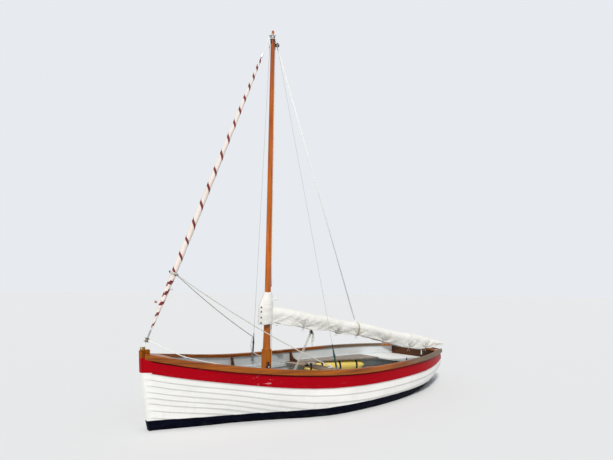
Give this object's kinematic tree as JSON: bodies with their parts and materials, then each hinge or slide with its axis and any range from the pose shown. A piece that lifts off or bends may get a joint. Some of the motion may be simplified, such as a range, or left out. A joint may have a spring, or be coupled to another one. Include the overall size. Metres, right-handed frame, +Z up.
{
  "type": "cockle boat",
  "caption": "Open clinker boat afloat, with one mast, a furled jib on its headstay and a boom that swings under its canvas cover.",
  "frame": {"origin": "on the centreline amidships, at the waterline", "axes": "+X to the bow, +Y to port, +Z up"},
  "size_m": [5.065, 2.004, 5.452],
  "materials": {
    "antifouling": "matt navy bottom paint",
    "white_paint": "gloss white paint",
    "crimson_paint": "gloss crimson paint",
    "oak": "oiled hardwood",
    "varnish": "varnished softwood, worn",
    "grey_paint": "satin light grey paint",
    "weathered_wood": "bare weathered wood",
    "steel": "galvanised",
    "bronze": "dull bronze",
    "black_plastic": "satin black",
    "teal_rope": "dark teal laid rope",
    "white_rope": "white braided rope",
    "sailcloth": "white sailcloth with a dark red edge strip",
    "canvas": "white canvas",
    "yellow_vinyl": "yellow coated cloth"
  },
  "bodies": {
    "hull": {"strake_01": "antifouling", "strake_02": "antifouling", "strake_03": "antifouling", "strake_04": "antifouling", "strake_05": "antifouling", "strake_06": "white_paint", "strake_07": "white_paint", "strake_08": "white_paint", "strake_09": "white_paint", "strake_10": "white_paint", "strake_11": "white_paint", "strake_12": "crimson_paint", "keel": "antifouling", "hog": "oak", "stem": "oak", "transom": "white_paint", "outwale": "varnish", "inwale": "varnish", "breasthook": "varnish", "quarter_knees": "varnish", "risings": "grey_paint", "mast_thwart": "weathered_wood", "mid_thwart": "weathered_wood", "side_benches": "weathered_wood", "stern_seat": "grey_paint", "thwart_knees": "oak", "floor_timbers": "oak", "bottom_boards": "grey_paint", "centreboard_case": "weathered_wood", "centreboard_pin": "steel", "case_post": "oak", "mast": "varnish", "mast_step": "oak", "masthead_band": "steel", "boom_rest": "varnish", "chainplates": "steel", "lanyards": "teal_rope", "shrouds": "steel", "stem_fitting": "steel", "tack_strop": "white_rope", "jib_halyard": "white_rope", "rowlock_pads": "varnish", "gudgeons": "bronze", "buoyancy_bags": "yellow_vinyl"},
    "boom": {"boom": "varnish", "boom_cover": "canvas", "mast_collar": "canvas", "topping_lift": "white_rope"},
    "centreboard": {"centreboard": "antifouling"},
    "jib": {"furling_drum": "black_plastic", "furled_jib": "sailcloth", "head_swivel": "steel"}
  },
  "joints": [
    {"name": "boom_swing", "type": "hinge", "parent": "hull", "child": "boom", "pos_m": [0.815, 0, 0], "axis": [0, 0, 1], "range_deg": [-50, 66]},
    {"name": "centreboard_pivot", "type": "hinge", "parent": "hull", "child": "centreboard", "pos_m": [0.48, 0, -0.252], "axis": [0, -1, 0], "range_deg": [0, 60]},
    {"name": "furler_spin", "type": "hinge", "parent": "hull", "child": "jib", "pos_m": [2.47, 0, 0.845], "axis": [-0.3584, 0, 0.9336], "continuous": true}
  ]
}
